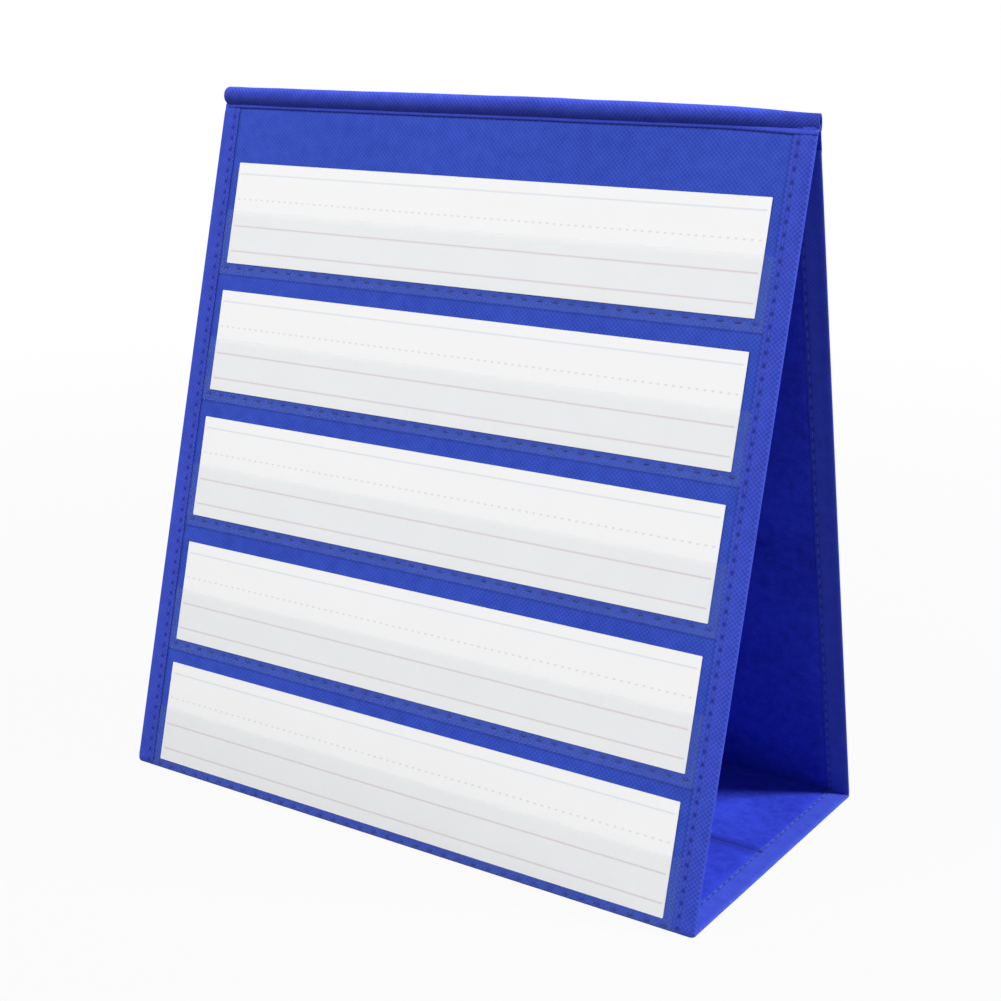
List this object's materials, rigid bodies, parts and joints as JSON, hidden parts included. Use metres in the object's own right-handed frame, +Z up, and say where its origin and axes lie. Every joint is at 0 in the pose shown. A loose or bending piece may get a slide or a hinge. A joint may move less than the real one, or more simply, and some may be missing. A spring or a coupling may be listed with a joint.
{
  "type": "tabletop pocket chart",
  "caption": "Free-standing cloth tent chart with stiff panels, clear pockets holding loose ruled cards on both faces, and a creased base that folds flat.",
  "frame": {"origin": "on the table under the ridge, at the middle of the footprint", "axes": "+X to the viewer's right along the ridge, -Y towards the viewer and the pictured front leaf, +Z up"},
  "size_m": [0.326, 0.1704, 0.3406],
  "materials": {
    "cover_cloth": "matte",
    "hem_cloth": "matte",
    "lining_cloth": "matte",
    "seam_thread": "satin",
    "clear_film": "gloss",
    "stiff_board": "matte",
    "card_paper": "matte"
  },
  "bodies": {
    "front_leaf": {"front_cover": "cover_cloth", "front_board": "stiff_board", "front_lining": "lining_cloth", "front_hem_left": "hem_cloth", "front_hem_right": "hem_cloth", "front_hem_thread": "seam_thread", "front_pocket_thread": "seam_thread", "front_pocket_1": "clear_film", "front_pocket_2": "clear_film", "front_pocket_3": "clear_film", "front_pocket_4": "clear_film", "front_pocket_5": "clear_film"},
    "base_front": {"base_front_cover": "cover_cloth", "base_front_board": "stiff_board", "base_front_lining": "lining_cloth", "base_front_hem_left": "hem_cloth", "base_front_hem_right": "hem_cloth", "base_front_hem_thread": "seam_thread"},
    "base_rear": {"base_rear_cover": "cover_cloth", "base_rear_board": "stiff_board", "base_rear_lining": "lining_cloth", "base_rear_hem_left": "hem_cloth", "base_rear_hem_right": "hem_cloth", "base_rear_hem_thread": "seam_thread"},
    "back_leaf": {"back_cover": "cover_cloth", "back_board": "stiff_board", "back_lining": "lining_cloth", "back_hem_left": "hem_cloth", "back_hem_right": "hem_cloth", "back_hem_thread": "seam_thread", "back_pocket_thread": "seam_thread", "back_pocket_1": "clear_film", "back_pocket_2": "clear_film", "back_pocket_3": "clear_film", "back_pocket_4": "clear_film", "back_pocket_5": "clear_film"},
    "ridge": {"ridge_roll": "cover_cloth", "ridge_flap_front": "cover_cloth", "ridge_flap_back": "cover_cloth"},
    "front_card_1": {"front_card_1": "card_paper"},
    "front_card_2": {"front_card_2": "card_paper"},
    "front_card_3": {"front_card_3": "card_paper"},
    "front_card_4": {"front_card_4": "card_paper"},
    "front_card_5": {"front_card_5": "card_paper"},
    "back_card_1": {"back_card_1": "card_paper"},
    "back_card_2": {"back_card_2": "card_paper"},
    "back_card_3": {"back_card_3": "card_paper"},
    "back_card_4": {"back_card_4": "card_paper"},
    "back_card_5": {"back_card_5": "card_paper"}
  },
  "joints": [
    {"name": "base_front_fold", "type": "hinge", "parent": "front_leaf", "child": "base_front", "pos_m": [0, -0.08061, 0.00315], "axis": [1, 0, 0], "range_deg": [0, 75.86]},
    {"name": "base_crease_fold", "type": "hinge", "parent": "base_front", "child": "base_rear", "pos_m": [0, 0, -0.00015], "axis": [1, 0, 0], "range_deg": [-178.48, 0]},
    {"name": "base_rear_fold", "type": "hinge", "parent": "base_rear", "child": "back_leaf", "pos_m": [0, 0.08061, 0.00315], "axis": [1, 0, 0], "range_deg": [0, 75.86]},
    {"name": "ridge_fold", "type": "hinge", "parent": "front_leaf", "child": "ridge", "pos_m": [0, -0.0029, 0.32347], "axis": [1, 0, 0], "range_deg": [-13.38, 0]},
    {"name": "front_card_1_slide", "type": "slide", "parent": "front_leaf", "child": "front_card_1", "axis": [0, 0.1643, 0.9864], "range_m": [0, 0.028]},
    {"name": "front_card_2_slide", "type": "slide", "parent": "front_leaf", "child": "front_card_2", "axis": [0, 0.1643, 0.9864], "range_m": [0, 0.04]},
    {"name": "front_card_3_slide", "type": "slide", "parent": "front_leaf", "child": "front_card_3", "axis": [0, 0.1643, 0.9864], "range_m": [0, 0.04]},
    {"name": "front_card_4_slide", "type": "slide", "parent": "front_leaf", "child": "front_card_4", "axis": [0, 0.1643, 0.9864], "range_m": [0, 0.04]},
    {"name": "front_card_5_slide", "type": "slide", "parent": "front_leaf", "child": "front_card_5", "axis": [0, 0.1643, 0.9864], "range_m": [0, 0.04]},
    {"name": "back_card_1_slide", "type": "slide", "parent": "back_leaf", "child": "back_card_1", "axis": [0, -0.1643, 0.9864], "range_m": [0, 0.028]},
    {"name": "back_card_2_slide", "type": "slide", "parent": "back_leaf", "child": "back_card_2", "axis": [0, -0.1643, 0.9864], "range_m": [0, 0.04]},
    {"name": "back_card_3_slide", "type": "slide", "parent": "back_leaf", "child": "back_card_3", "axis": [0, -0.1643, 0.9864], "range_m": [0, 0.04]},
    {"name": "back_card_4_slide", "type": "slide", "parent": "back_leaf", "child": "back_card_4", "axis": [0, -0.1643, 0.9864], "range_m": [0, 0.04]},
    {"name": "back_card_5_slide", "type": "slide", "parent": "back_leaf", "child": "back_card_5", "axis": [0, -0.1643, 0.9864], "range_m": [0, 0.04]}
  ],
  "couplings": [
    {"joint": "base_crease_fold", "follows": "base_front_fold", "ratio": -2.3528},
    {"joint": "base_rear_fold", "follows": "base_front_fold", "ratio": 1},
    {"joint": "ridge_fold", "follows": "base_front_fold", "ratio": -0.17639}
  ]
}
